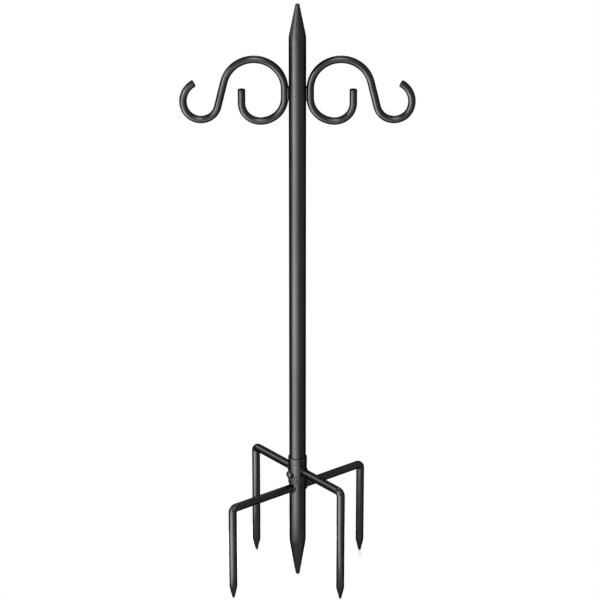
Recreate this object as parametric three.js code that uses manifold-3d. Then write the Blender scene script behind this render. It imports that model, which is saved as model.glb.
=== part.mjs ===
// Hanging plant stand: a steel pole with a point at each end, two scroll hooks welded near its top,
// a pair of fixed prongs through its foot and a swivelling collar that carries the other pair.
// Millimetres, +Z up. The origin is on the ground, midway under the stand, where the prong tips rest.
// The two hooks lie in the XZ plane, and -Y is the front.
import * as THREE from 'three';
import { mergeVertices } from 'three/addons/utils/BufferGeometryUtils.js';
import Module from 'manifold-3d';

const wasm = await Module();
wasm.setup();

// ---- Driving dimensions -------------------------------------------------------------------------

// Pole
const TOTAL_HEIGHT = 914.4;
const POLE_DIAMETER = 25.4;
const POLE_WALL = 1.5;
const TOP_POINT_LENGTH = 52;
const GROUND_POINT_LENGTH = 62;
const POINT_TIP_DIAMETER = 6.6;
const POINT_TIP_ROUND = 2;
const SPIGOT_LENGTH = 18;
const SPIGOT_CHAMFER = 1.5;

// Scroll hooks: one bent rod each, drawn as straight lengths and arcs of its centreline
const HOOK_ROD_DIAMETER = 11;
const HOOK_WELD_DROP = 133.4;
const HOOK_WELD_LINE = 13.2;
const CROWN_RADIUS = 44.4;
const CROWN_SWEEP = 166;
const NECK_LENGTH = 39;
const CUP_RADIUS = 25.2;
const CUP_SWEEP = 144;
const LIP_RADIUS = 31.3;
const LIP_SWEEP = 81.5;
const CURL_ROOT_RADIUS = 35.3;
const CURL_TIP_RADIUS = 27;
const CURL_SWEEP = 90;
const CURL_END_LENGTH = 21;
const ROD_END_CHAMFER = 0.8;

// Prongs
const PRONG_ROD_DIAMETER = 12.5;
const PRONG_BEND_RADIUS = 6.8;
const PRONG_POINT_LENGTH = 20;
const PRONG_TIP_DIAMETER = 4.4;
const FIXED_PRONG_HEIGHT = 151.35;
const FIXED_PRONG_REACH = 125.5;
const SWIVEL_PRONG_REACH = 104;
const SWIVEL_PRONG_ANGLE = -51.3;

// Swivel collar, its lock screw and the washer
const COLLAR_LENGTH = 44;
const COLLAR_WALL = 1.4;
const COLLAR_CHAMFER = 0.6;
const PAD_DIAMETER = 12.6;
const PAD_RISE = 0.6;
const LOCK_SCREW_DROP = 4.5;
const SCREW_DIAMETER = 6;
const SCREW_HEAD_DIAMETER = 10.5;
const SCREW_HEAD_HEIGHT = 3;
const SCREW_DOME = 1.9;
const SOCKET_ACROSS_FLATS = 4;
const SOCKET_DEPTH = 1.6;
const WASHER_DIAMETER = 12;
const WASHER_THICKNESS = 1;

// Welds
const FILLET_BEAD_RADIUS = 1.9;
const FILLET_BEAD_STANDOFF = 0.7;
const FIXED_BEAD_SWEEP = 230;
const SWIVEL_BEAD_SWEEP = 330;
const HOOK_BEAD_RADIUS = 2.2;
const HOOK_BEAD_LENGTH = 20;
const HOOK_BEAD_ACROSS = 3.4;

// Clearances
const SEAT_GAP = 0.3;
const SPIGOT_CLEARANCE = 0.3;
const PRONG_HOLE_CLEARANCE = 0.5;
const COLLAR_CLEARANCE = 0.25;
const SCREW_HOLE_CLEARANCE = 0.3;

// Facets
const POLE_SIDES = 40;
const HOOK_SIDES = 14;
const PRONG_SIDES = 16;
const SCREW_SIDES = 20;
const BEAD_SIDES = 7;
const BEAD_STEPS = 18;
const ARC_STEP = 12;

// ---- Sizes worked out from the driving dimensions ------------------------------------------------

const POLE_RADIUS = POLE_DIAMETER / 2;
const BORE_RADIUS = POLE_RADIUS - POLE_WALL;
const TUBE_TOP = TOTAL_HEIGHT - TOP_POINT_LENGTH;
const HOOK_WELD_HEIGHT = TOTAL_HEIGHT - HOOK_WELD_DROP;
const HOOK_RADIUS = HOOK_ROD_DIAMETER / 2;
const HOOK_OFFSET = POLE_RADIUS + SEAT_GAP + HOOK_RADIUS;
const PRONG_RADIUS = PRONG_ROD_DIAMETER / 2;
const FIXED_PRONG_ANGLE = SWIVEL_PRONG_ANGLE - 90;
const COLLAR_BORE_RADIUS = POLE_RADIUS + COLLAR_CLEARANCE;
const COLLAR_RADIUS = COLLAR_BORE_RADIUS + COLLAR_WALL;
const COLLAR_BOTTOM = FIXED_PRONG_HEIGHT + PRONG_RADIUS + SEAT_GAP;
const COLLAR_MIDDLE = COLLAR_BOTTOM + COLLAR_LENGTH / 2;
const PAD_FACE = COLLAR_RADIUS + PAD_RISE;
const WASHER_SEAT = PAD_FACE + SEAT_GAP;
const HEAD_SEAT = WASHER_SEAT + WASHER_THICKNESS + SEAT_GAP;
const SCREW_RADIUS = SCREW_DIAMETER / 2;
const SCREW_HOLE_RADIUS = SCREW_RADIUS + SCREW_HOLE_CLEARANCE;
const SCREW_LENGTH = HEAD_SEAT - POLE_RADIUS - SEAT_GAP;

// ---- Materials ----------------------------------------------------------------------------------

const satinBlack = (name) =>
  new THREE.MeshStandardMaterial({ name, color: 0x1b1b1c, roughness: 0.42, metalness: 0.35 });
const screwBlack = (name) =>
  new THREE.MeshStandardMaterial({ name, color: 0x2c2c2e, roughness: 0.3, metalness: 0.9 });

// ---- Solids -------------------------------------------------------------------------------------

const radians = THREE.MathUtils.degToRad;

// A closed geometry as a solid that can be joined and cut.
function solid(geometry) {
  const bare = geometry.clone();
  bare.deleteAttribute('normal');
  bare.deleteAttribute('uv');
  const merged = mergeVertices(bare);
  const mesh = new wasm.Mesh({
    numProp: 3,
    vertProperties: merged.attributes.position.array,
    triVerts: new Uint32Array(merged.index.array),
  });
  return new wasm.Manifold(mesh);
}

// The geometry of a joined or cut solid.
function geometryOf(body) {
  const { vertProperties, triVerts } = body.getMesh();
  const geometry = new THREE.BufferGeometry();
  geometry.setAttribute('position', new THREE.BufferAttribute(vertProperties, 3));
  geometry.setIndex(new THREE.BufferAttribute(triVerts, 1));
  geometry.computeVertexNormals();
  return geometry;
}

// A profile of [radius, height] points revolved about +Z. An outer wall is drawn upwards.
function revolve(profile, sides) {
  const points = profile.map(([radius, height]) => new THREE.Vector2(radius, height));
  return new THREE.LatheGeometry(points, sides).rotateX(Math.PI / 2);
}

// A cylinder about +Z between two heights.
function cylinder(radius, bottom, top, sides) {
  return revolve([[0, bottom], [radius, bottom], [radius, top], [0, top]], sides);
}

// Turns a geometry built about +Z so that its axis points along a level direction at a height.
function lay(geometry, direction, height) {
  const turn = new THREE.Quaternion().setFromUnitVectors(new THREE.Vector3(0, 0, 1), direction);
  return geometry.applyQuaternion(turn).translate(0, 0, height);
}

// The level direction at an angle measured from +X towards +Y.
function level(angle) {
  return new THREE.Vector3(Math.cos(radians(angle)), Math.sin(radians(angle)), 0);
}

// ---- Bent rods ----------------------------------------------------------------------------------

// Walks along straight lengths { line } and arcs { radius, sweep } in a plane, and returns the
// stations { u, v, heading } at the ends of its lines and along its arcs. A positive sweep turns left.
function walk(start, pieces) {
  let { u, v, heading } = start;
  const stations = [start];
  const advance = (length) => {
    u += length * Math.cos(heading);
    v += length * Math.sin(heading);
  };
  for (const { line, radius, sweep } of pieces) {
    if (line) {
      advance(line);
      stations.push({ u, v, heading });
      continue;
    }
    const steps = Math.ceil(Math.abs(sweep) / ARC_STEP);
    const turn = radians(sweep) / steps;
    const chord = 2 * radius * Math.sin(Math.abs(turn) / 2);
    for (let i = 0; i < steps; i += 1) {
      heading += turn / 2;
      advance(chord);
      heading += turn / 2;
      stations.push({ u, v, heading });
    }
  }
  return stations;
}

// The same stations met from the other end.
function reversed(stations) {
  return [...stations].reverse().map(({ u, v, heading }) => ({ u, v, heading: heading + Math.PI }));
}

// Stands plane stations upright along a level direction.
function upright(stations, along) {
  return stations.map(({ u, v, heading }) => ({
    point: along.clone().multiplyScalar(u).setZ(v),
    tangent: along.clone().multiplyScalar(Math.cos(heading)).setZ(Math.sin(heading)),
  }));
}

// A centreline that is met exactly at its stations.
class StationPath extends THREE.Curve {
  constructor(stations) {
    super();
    this.stations = stations;
  }

  station(t) {
    return this.stations[Math.round(t * (this.stations.length - 1))];
  }

  getPoint(t, target = new THREE.Vector3()) {
    return target.copy(this.station(t).point);
  }

  getTangent(t, target = new THREE.Vector3()) {
    return target.copy(this.station(t).tangent);
  }

  getUtoTmapping(u) {
    return u;
  }
}

// A round section with flat facets.
function roundSection(radius, sides) {
  const corner = (i) => {
    const angle = (2 * Math.PI * i) / sides;
    return new THREE.Vector2(radius * Math.cos(angle), radius * Math.sin(angle));
  };
  return new THREE.Shape(Array.from({ length: sides }, (_, i) => corner(i)));
}

// A round rod swept along its stations.
function rod(stations, radius, sides) {
  return new THREE.ExtrudeGeometry(roundSection(radius, sides), {
    steps: stations.length - 1,
    extrudePath: new StationPath(stations),
    bevelEnabled: false,
  });
}

// Draws the ring at one end of a rod in to a smaller radius, for a point or a chamfer.
function drawIn(geometry, end, fromRadius, toRadius) {
  const places = geometry.attributes.position;
  const place = new THREE.Vector3();
  const reach = fromRadius * 1.01;
  for (let i = 0; i < places.count; i += 1) {
    place.fromBufferAttribute(places, i);
    const offset = place.clone().sub(end.point);
    const onEnd = Math.abs(offset.dot(end.tangent)) < 0.01 * fromRadius;
    if (onEnd && offset.length() < reach) {
      place.lerp(end.point, 1 - toRadius / fromRadius);
      places.setXYZ(i, place.x, place.y, place.z);
    }
  }
  return geometry;
}

// ---- Pole ---------------------------------------------------------------------------------------

// A pointed end about +Z with its shoulder at height 0: a blunt cone above and a spigot below.
function pointedEnd(length) {
  const tip = POINT_TIP_DIAMETER / 2;
  const spigot = BORE_RADIUS - SPIGOT_CLEARANCE;
  const cone = Math.atan2(POLE_RADIUS - tip, length);
  const rounding = [0, 1, 2, 3].map((i) => {
    const angle = cone + ((Math.PI / 2 - cone) * i) / 3;
    const centre = [tip - POINT_TIP_ROUND * Math.cos(cone), length - POINT_TIP_ROUND];
    return [
      centre[0] + POINT_TIP_ROUND * Math.cos(angle),
      centre[1] + POINT_TIP_ROUND * Math.sin(angle),
    ];
  });
  return revolve([
    [0, -SPIGOT_LENGTH],
    [spigot - SPIGOT_CHAMFER, -SPIGOT_LENGTH],
    [spigot, SPIGOT_CHAMFER - SPIGOT_LENGTH],
    [spigot, 0],
    [POLE_RADIUS, 0],
    ...rounding,
    [0, length],
  ], POLE_SIDES);
}

function topPoint() {
  return pointedEnd(TOP_POINT_LENGTH).translate(0, 0, TUBE_TOP);
}

function groundPoint() {
  return pointedEnd(GROUND_POINT_LENGTH).rotateX(Math.PI).translate(0, 0, GROUND_POINT_LENGTH);
}

// The tube between the two points, with a hole right through it for the fixed prongs.
function poleTube() {
  const bottom = GROUND_POINT_LENGTH + SEAT_GAP;
  const top = TUBE_TOP - SEAT_GAP;
  const wall = revolve([
    [POLE_RADIUS, bottom],
    [POLE_RADIUS, top],
    [BORE_RADIUS, top],
    [BORE_RADIUS, bottom],
    [POLE_RADIUS, bottom],
  ], POLE_SIDES);
  const holeRadius = PRONG_RADIUS + PRONG_HOLE_CLEARANCE;
  const drill = cylinder(holeRadius, -POLE_DIAMETER, POLE_DIAMETER, PRONG_SIDES);
  lay(drill, level(FIXED_PRONG_ANGLE), FIXED_PRONG_HEIGHT);
  return geometryOf(solid(wall).subtract(solid(drill)));
}

// ---- Scroll hooks -------------------------------------------------------------------------------

// The centreline of one hook, from the inner curl's end to the outer lip. side is -1 for the left.
function hookStations(side) {
  const weld = { u: -HOOK_OFFSET, v: HOOK_WELD_HEIGHT };
  const inwards = walk({ ...weld, heading: -Math.PI / 2 }, [
    { line: HOOK_WELD_LINE / 2 },
    { radius: CURL_ROOT_RADIUS, sweep: -CURL_SWEEP },
    { radius: CURL_TIP_RADIUS, sweep: -CURL_SWEEP },
    { line: CURL_END_LENGTH - ROD_END_CHAMFER },
    { line: ROD_END_CHAMFER },
  ]);
  const outwards = walk({ ...weld, heading: Math.PI / 2 }, [
    { line: HOOK_WELD_LINE / 2 },
    { radius: CROWN_RADIUS, sweep: CROWN_SWEEP },
    { line: NECK_LENGTH },
    { radius: CUP_RADIUS, sweep: -CUP_SWEEP },
    { radius: LIP_RADIUS, sweep: -LIP_SWEEP },
    { line: ROD_END_CHAMFER },
  ]);
  const whole = [...reversed(inwards), ...outwards.slice(1)];
  return upright(whole, new THREE.Vector3(-side, 0, 0));
}

function scrollHook(side) {
  const stations = hookStations(side);
  const chamfered = HOOK_RADIUS - ROD_END_CHAMFER;
  const bar = rod(stations, HOOK_RADIUS, HOOK_SIDES);
  drawIn(bar, stations[0], HOOK_RADIUS, chamfered);
  return drawIn(bar, stations[stations.length - 1], HOOK_RADIUS, chamfered);
}

// A weld bead in the valley between the pole and a hook. front is -1 for the bead that faces -Y.
function hookBead(side, front) {
  const across = Math.sqrt((POLE_RADIUS + HOOK_BEAD_RADIUS) ** 2 - HOOK_BEAD_ACROSS ** 2);
  const bead = new THREE.SphereGeometry(1, 12, 10)
    .scale(HOOK_BEAD_RADIUS, HOOK_BEAD_RADIUS, HOOK_BEAD_LENGTH / 2)
    .translate(side * across, front * HOOK_BEAD_ACROSS, HOOK_WELD_HEIGHT);
  const low = HOOK_WELD_HEIGHT - HOOK_BEAD_LENGTH;
  const high = HOOK_WELD_HEIGHT + HOOK_BEAD_LENGTH;
  const pole = cylinder(POLE_RADIUS + SEAT_GAP, low, high, POLE_SIDES);
  const hook = rod(hookStations(side), HOOK_RADIUS + SEAT_GAP, HOOK_SIDES);
  return geometryOf(solid(bead).subtract(solid(pole)).subtract(solid(hook)));
}

// ---- Prongs -------------------------------------------------------------------------------------

// One prong: out along a level direction, one bend and down to a blunt point on the ground.
function prong(angle, start, reach, height) {
  const arm = { u: start, v: height, heading: 0 };
  const stations = upright(walk(arm, [
    { line: reach - PRONG_BEND_RADIUS - start },
    { radius: PRONG_BEND_RADIUS, sweep: -90 },
    { line: height - PRONG_BEND_RADIUS - PRONG_POINT_LENGTH },
    { line: PRONG_POINT_LENGTH },
  ]), level(angle));
  const bar = rod(stations, PRONG_RADIUS, PRONG_SIDES);
  return drawIn(bar, stations[stations.length - 1], PRONG_RADIUS, PRONG_TIP_DIAMETER / 2);
}

// A fixed prong enters the pole through its hole and stops short of its partner at the axis.
function fixedProng(angle) {
  return prong(angle, SEAT_GAP, FIXED_PRONG_REACH, FIXED_PRONG_HEIGHT);
}

// A swivel prong is coped to the outside of the collar.
function swivelProng(angle) {
  const bar = prong(angle, POLE_RADIUS, SWIVEL_PRONG_REACH, COLLAR_MIDDLE);
  const top = COLLAR_BOTTOM + COLLAR_LENGTH;
  const collar = cylinder(COLLAR_RADIUS + SEAT_GAP, COLLAR_BOTTOM, top, POLE_SIDES);
  return geometryOf(solid(bar).subtract(solid(collar)));
}

// The line round a level rod where it meets an upright tube, over part of a turn.
class SaddlePath extends THREE.Curve {
  constructor(tubeRadius, rodRadius, from, sweep) {
    super();
    Object.assign(this, { tubeRadius, rodRadius, from, sweep });
  }

  getPoint(t, target = new THREE.Vector3()) {
    const angle = radians(this.from + this.sweep * t);
    const across = this.rodRadius * Math.cos(angle);
    const along = Math.sqrt(this.tubeRadius ** 2 - across ** 2);
    return target.set(along, across, this.rodRadius * Math.sin(angle));
  }
}

// A fillet bead round a prong where it meets a tube, broken at the angle `breakAt` round the rod.
function filletBead(tubeRadius, angle, height, breakAt, sweep) {
  const from = breakAt + (360 - sweep) / 2;
  const path = new SaddlePath(
    tubeRadius + FILLET_BEAD_STANDOFF,
    PRONG_RADIUS + FILLET_BEAD_STANDOFF,
    from,
    sweep,
  );
  const bead = new THREE.ExtrudeGeometry(roundSection(FILLET_BEAD_RADIUS, BEAD_SIDES), {
    steps: BEAD_STEPS,
    extrudePath: path,
    bevelEnabled: false,
  }).rotateZ(radians(angle)).translate(0, 0, height);
  const half = 2 * PRONG_ROD_DIAMETER;
  const tube = cylinder(tubeRadius + SEAT_GAP, height - half, height + half, POLE_SIDES);
  const core = cylinder(PRONG_RADIUS + SEAT_GAP, 0, tubeRadius + half, PRONG_SIDES);
  lay(core, level(angle), height);
  return geometryOf(solid(bead).subtract(solid(tube)).subtract(solid(core)));
}

function fixedBead(angle) {
  return filletBead(POLE_RADIUS, angle, FIXED_PRONG_HEIGHT, 90, FIXED_BEAD_SWEEP);
}

function swivelBead(angle) {
  return filletBead(COLLAR_RADIUS, angle, COLLAR_MIDDLE, -90, SWIVEL_BEAD_SWEEP);
}

// ---- Swivel collar and lock screw ---------------------------------------------------------------

// A sleeve round the pole with a flat pad and a threaded hole for the lock screw.
function swivelCollar(screwDirection, screwHeight) {
  const top = COLLAR_BOTTOM + COLLAR_LENGTH;
  const bevel = COLLAR_RADIUS - COLLAR_CHAMFER;
  const sleeve = revolve([
    [0, COLLAR_BOTTOM],
    [bevel, COLLAR_BOTTOM],
    [COLLAR_RADIUS, COLLAR_BOTTOM + COLLAR_CHAMFER],
    [COLLAR_RADIUS, top - COLLAR_CHAMFER],
    [bevel, top],
    [0, top],
  ], POLE_SIDES);
  const pad = lay(cylinder(PAD_DIAMETER / 2, 0, PAD_FACE, SCREW_SIDES), screwDirection, screwHeight);
  const margin = COLLAR_LENGTH / 2;
  const bore = cylinder(COLLAR_BORE_RADIUS, COLLAR_BOTTOM - margin, top + margin, POLE_SIDES);
  const hole = cylinder(SCREW_HOLE_RADIUS, 0, 2 * PAD_FACE, SCREW_SIDES);
  lay(hole, screwDirection, screwHeight);
  return geometryOf(solid(sleeve).add(solid(pad)).subtract(solid(bore)).subtract(solid(hole)));
}

// A button-head screw about +Z with the underside of its head at height 0.
function lockScrew() {
  const edge = SCREW_HEAD_HEIGHT - SCREW_DOME;
  const headRadius = SCREW_HEAD_DIAMETER / 2;
  const socketRadius = SOCKET_ACROSS_FLATS / Math.sqrt(3);
  const dome = [1, 2, 3].map((i) => {
    const angle = (Math.PI * i) / 8;
    return [headRadius * Math.cos(angle), edge + SCREW_DOME * Math.sin(angle)];
  });
  const body = revolve([
    [0, -SCREW_LENGTH],
    [SCREW_RADIUS, -SCREW_LENGTH],
    [SCREW_RADIUS, 0],
    [headRadius, 0],
    [headRadius, edge],
    ...dome,
    [0, SCREW_HEAD_HEIGHT],
  ], SCREW_SIDES);
  const socket = cylinder(socketRadius, SCREW_HEAD_HEIGHT - SOCKET_DEPTH, 2 * SCREW_HEAD_HEIGHT, 6);
  return geometryOf(solid(body).subtract(solid(socket)));
}

function lockWasher() {
  const radius = WASHER_DIAMETER / 2;
  return revolve([
    [radius, 0],
    [radius, WASHER_THICKNESS],
    [SCREW_HOLE_RADIUS, WASHER_THICKNESS],
    [SCREW_HOLE_RADIUS, 0],
    [radius, 0],
  ], SCREW_SIDES);
}

// ---- Assembly -----------------------------------------------------------------------------------

// Adds a named mesh to a group.
function add(group, name, geometry, material) {
  const mesh = new THREE.Mesh(geometry, material(name));
  mesh.name = name;
  group.add(mesh);
  return mesh;
}

const stand = new THREE.Group();
const pole = new THREE.Group();
const swivel = new THREE.Group();
stand.add(pole, swivel);

add(pole, 'pole_tube', poleTube(), satinBlack);
add(pole, 'top_point', topPoint(), satinBlack);
add(pole, 'ground_point', groundPoint(), satinBlack);

for (const [hand, side] of [['left', -1], ['right', 1]]) {
  add(pole, `${hand}_scroll_hook`, scrollHook(side), satinBlack);
  for (const [face, front] of [['front', -1], ['back', 1]]) {
    add(pole, `${hand}_hook_weld_${face}`, hookBead(side, front), satinBlack);
  }
}

for (const [face, turn] of [['front', 0], ['back', 180]]) {
  const fixedAngle = FIXED_PRONG_ANGLE + turn;
  const swivelAngle = SWIVEL_PRONG_ANGLE + turn;
  add(pole, `fixed_prong_${face}`, fixedProng(fixedAngle), satinBlack);
  add(pole, `fixed_prong_weld_${face}`, fixedBead(fixedAngle), satinBlack);
  add(swivel, `swivel_prong_${face}`, swivelProng(swivelAngle), satinBlack);
  add(swivel, `swivel_prong_weld_${face}`, swivelBead(swivelAngle), satinBlack);
}

const screwDirection = level(FIXED_PRONG_ANGLE);
const screwHeight = COLLAR_MIDDLE - LOCK_SCREW_DROP;
add(swivel, 'swivel_collar', swivelCollar(screwDirection, screwHeight), satinBlack);

// The washer and the screw stand square to the pad, out along the screw's axis.
const lock = new THREE.Group();
lock.quaternion.setFromUnitVectors(new THREE.Vector3(0, 0, 1), screwDirection);
lock.position.z = screwHeight;
swivel.add(lock);
add(lock, 'lock_washer', lockWasher(), screwBlack).position.z = WASHER_SEAT;
add(lock, 'lock_screw', lockScrew(), screwBlack).position.z = HEAD_SEAT;

export default stand;
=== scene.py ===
"""Hanging plant stand: a pointed steel pole with two scroll hooks, a pair of fixed prongs through its
foot, and a swivelling collar that carries the other pair. Everything is in metres, +Z up, with -Y the
front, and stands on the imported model's frame."""

import math
from typing import NamedTuple

import bpy
import numpy as np
from bpy.props import FloatProperty, FloatVectorProperty, IntProperty, PointerProperty
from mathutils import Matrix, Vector


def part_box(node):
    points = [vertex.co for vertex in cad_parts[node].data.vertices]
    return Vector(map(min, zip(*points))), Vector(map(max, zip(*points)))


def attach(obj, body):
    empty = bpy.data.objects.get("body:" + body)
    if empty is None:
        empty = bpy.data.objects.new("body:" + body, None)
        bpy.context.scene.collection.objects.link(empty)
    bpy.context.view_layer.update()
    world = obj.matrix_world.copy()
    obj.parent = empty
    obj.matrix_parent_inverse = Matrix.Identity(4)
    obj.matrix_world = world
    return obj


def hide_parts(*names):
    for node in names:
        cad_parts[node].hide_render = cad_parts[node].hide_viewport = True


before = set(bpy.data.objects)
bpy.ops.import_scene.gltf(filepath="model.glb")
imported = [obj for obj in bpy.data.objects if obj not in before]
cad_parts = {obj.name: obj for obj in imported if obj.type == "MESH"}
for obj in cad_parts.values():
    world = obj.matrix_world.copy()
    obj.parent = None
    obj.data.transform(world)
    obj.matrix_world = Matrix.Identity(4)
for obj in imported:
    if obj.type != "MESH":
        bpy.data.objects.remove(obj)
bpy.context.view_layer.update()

bl_info = {
    "name": "Hanging plant stand",
    "version": (1, 0, 0),
    "blender": (4, 5, 0),
    "location": "View3D > Sidebar > Plant Stand",
    "description": "Builds the stand's pole, scroll hooks, prongs, swivel collar and lock screw",
    "category": "Add Mesh",
}


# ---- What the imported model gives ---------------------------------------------

def half_width(node):
    """Half of a CAD node's size along X, which is the radius of one that is turned about the pole."""
    low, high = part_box(node)
    return (high[0] - low[0]) / 2


POLE_RADIUS = half_width("pole_tube")
TUBE_BOTTOM, TUBE_TOP = (corner[2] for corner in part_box("pole_tube"))
STAND_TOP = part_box("top_point")[1][2]
COLLAR_BOTTOM, COLLAR_TOP = (corner[2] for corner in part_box("swivel_collar"))
COLLAR_MIDDLE = (COLLAR_BOTTOM + COLLAR_TOP) / 2


# ---- Sizes and finishes that can be changed ----------------------------------

def length(name, default, description):
    """A size in metres."""
    return FloatProperty(name=name, description=description, default=default, min=0.0,
                         precision=5, unit="LENGTH", subtype="DISTANCE")


def angle(name, degrees, description):
    """An angle, given here in degrees."""
    return FloatProperty(name=name, description=description, default=math.radians(degrees),
                         subtype="ANGLE", unit="ROTATION")


def share(name, default, description):
    """A plain number from 0 to 1."""
    return FloatProperty(name=name, description=description, default=default, min=0.0, max=1.0,
                         subtype="FACTOR")


def colour(name, default, description):
    """A linear colour."""
    return FloatVectorProperty(name=name, description=description, default=default, size=3,
                               min=0.0, max=1.0, subtype="COLOR")


def power(name, default, description):
    """A lamp's power in watts."""
    return FloatProperty(name=name, description=description, default=default, min=0.0, unit="POWER")


class PoleSizes(bpy.types.PropertyGroup):
    """The pole and its two points."""
    wall: length("Wall", 0.0015, "Wall of the pole's tube")
    top_point: length("Top point", 0.052, "Length of the point at the top")
    ground_point: length("Ground point", 0.062, "Length of the point at the foot")
    spigot: length("Spigot", 0.018, "Length of each point's spigot in the tube")
    spigot_gap: length("Spigot gap", 0.0003, "From the spigot to the tube's bore")
    spigot_chamfer: length("Spigot chamfer", 0.0015, "Chamfer round the spigot's end")
    tip_diameter: length("Tip diameter", 0.0066, "Width of each blunt tip")
    tip_round: length("Tip rounding", 0.002, "Rounding round each blunt tip")
    shoulder: length("Shoulder", 0.0035, "How far the shoulder of each point is rounded along the pole")
    pleat: length("Pleat depth", 0.00004, "Depth of the faint pleats that forming leaves in the points")
    pleats: IntProperty(name="Pleats", description="Pleats round each point", default=22, min=3)
    dimple: length("Dimple depth", 0.0004, "Depth of the dimple in each blunt tip")


class HookSizes(bpy.types.PropertyGroup):
    """The scroll hooks, as arcs of their centreline, and their welds."""
    rod: length("Rod diameter", 0.011, "Diameter of the hooks' rod")
    offset: length("Offset", 0.0185, "From the pole's axis to the rod's at the weld")
    weld_height: length("Weld height", 0.781, "Height of the middle of the weld")
    weld_line: length("Straight at the weld", 0.0132, "Straight length that lies along the pole")
    crown_radius: length("Crown radius", 0.0444, "Radius of the crown's arc")
    crown_sweep: angle("Crown sweep", 166, "Sweep of the crown's arc")
    neck: length("Neck", 0.039, "Straight length between the crown and the cup")
    cup_radius: length("Cup radius", 0.0252, "Radius of the cup's arc")
    cup_sweep: angle("Cup sweep", 144, "Sweep of the cup's arc")
    lip_radius: length("Lip radius", 0.0313, "Radius of the lip's arc")
    lip_sweep: angle("Lip sweep", 81.5, "Sweep of the lip's arc")
    root_radius: length("Curl root radius", 0.0353, "Radius of the inner curl next to the pole")
    curl_radius: length("Curl tip radius", 0.027, "Radius of the inner curl near its end")
    curl_sweep: angle("Curl sweep", 90, "Sweep of each of the inner curl's two arcs")
    curl_end: length("Curl end", 0.021, "Straight length at the inner curl's end")
    end_round: length("End rounding", 0.0008, "Rounding round the rod's cut ends")
    bead_radius: length("Weld radius", 0.0022, "Radius of the beads that hold a hook")
    bead_length: length("Weld length", 0.02, "Length of the beads that hold a hook")
    bead_across: length("Weld offset", 0.0034, "From the hooks' plane to each bead's middle")


class ProngSizes(bpy.types.PropertyGroup):
    """The four prongs and their welds."""
    rod: length("Rod diameter", 0.0125, "Diameter of the prongs' rod")
    bend: length("Bend radius", 0.0068, "Radius of the bend, along the rod's middle")
    point: length("Point", 0.02, "Length of each pointed end")
    tip: length("Tip diameter", 0.0044, "Width of each prong's tip")
    fixed_height: length("Fixed pair's height", 0.15135, "Height of the arms of the fixed pair")
    fixed_reach: length("Fixed pair's reach", 0.1255, "From the pole's axis to a fixed leg")
    swivel_reach: length("Swivel pair's reach", 0.104, "From the pole's axis to a swivelling leg")
    swivel_angle: angle("Swivel pair's angle", -51.3, "Direction of the front swivelling arm, from +X")
    bead_radius: length("Weld radius", 0.0019, "Radius of the bead round an arm")
    bead_standoff: length("Weld standoff", 0.0007, "From both surfaces to the bead's middle line")
    fixed_bead: angle("Fixed weld", 230, "How far round a fixed arm its bead runs")
    swivel_bead: angle("Swivel weld", 330, "How far round a swivelling arm its bead runs")


class CollarSizes(bpy.types.PropertyGroup):
    """The swivel collar, the washer and the lock screw."""
    radius: length("Collar radius", 0.01435, "Outer radius of the collar")
    bore: length("Bore radius", 0.01295, "Radius of the collar's bore")
    rim: length("Rim rounding", 0.00055, "Rounding of the collar's rims")
    pad_diameter: length("Pad diameter", 0.0126, "Diameter of the flat pad under the washer")
    pad_face: length("Pad face", 0.01495, "From the pole's axis to the pad's face")
    screw_drop: length("Screw drop", 0.0045, "How far the screw sits under the collar's middle")
    screw_diameter: length("Screw diameter", 0.006, "Diameter of the lock screw")
    screw_length: length("Screw length", 0.00355, "Length of the screw under its head")
    head_diameter: length("Head diameter", 0.0105, "Diameter of the screw's head")
    head_height: length("Head height", 0.003, "Height of the screw's head")
    dome: length("Dome", 0.0019, "Height of the domed part of the head")
    socket: length("Socket", 0.004, "Width of the head's six-sided socket across its flats")
    socket_depth: length("Socket depth", 0.0016, "Depth of the socket")
    head_seat: length("Head seat", 0.01655, "From the pole's axis to the underside of the head")
    washer_diameter: length("Washer diameter", 0.012, "Diameter of the washer")
    washer_hole: length("Washer hole", 0.0066, "Hole in the washer")
    washer_thickness: length("Washer thickness", 0.001, "Thickness of the washer")
    washer_seat: length("Washer seat", 0.01525, "From the pole's axis to the washer's inner face")
    washer_edge: length("Washer edge", 0.0002, "Rounding of the washer's edges")
    spatter: length("Spatter height", 0.0007, "Height of the weld spatter on the collar")
    spatter_bells: IntProperty(name="Spatter drops", description="How many drops of spatter there are",
                               default=150, min=1)


class CoatFinish(bpy.types.PropertyGroup):
    """The black coat on the stand and the finish of its screw."""
    coat: colour("Coat", (0.022, 0.022, 0.023), "Black of the powder coat")
    # This darker black is painted shade: the beads carry the same coat as the rest, and the darker tone
    # stands in for the shade in the joints where they sit.
    weld: colour("Welds", (0.015, 0.015, 0.016), "Black of the coat over the welds")
    steel: colour("Screw", (0.034, 0.034, 0.036), "Blackened steel of the screw and washer")
    metallic: share("Metallic", 1.0, "How metallic the coat looks")
    roughness: share("Roughness", 0.33, "Roughness of the powder coat on the pole and collar")
    rod_roughness: share("Rod roughness", 0.26, "Roughness of the powder coat on the bent rods")
    weld_roughness: share("Weld roughness", 0.40, "Roughness of the powder coat over the welds")
    steel_roughness: share("Screw roughness", 0.24, "Roughness of the blackened steel")
    edge: share("Edge", 0.0, "How much light the coat returns at a glancing angle")
    grain: length("Grain", 0.00055, "Width of the coat's fine grain")


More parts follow.
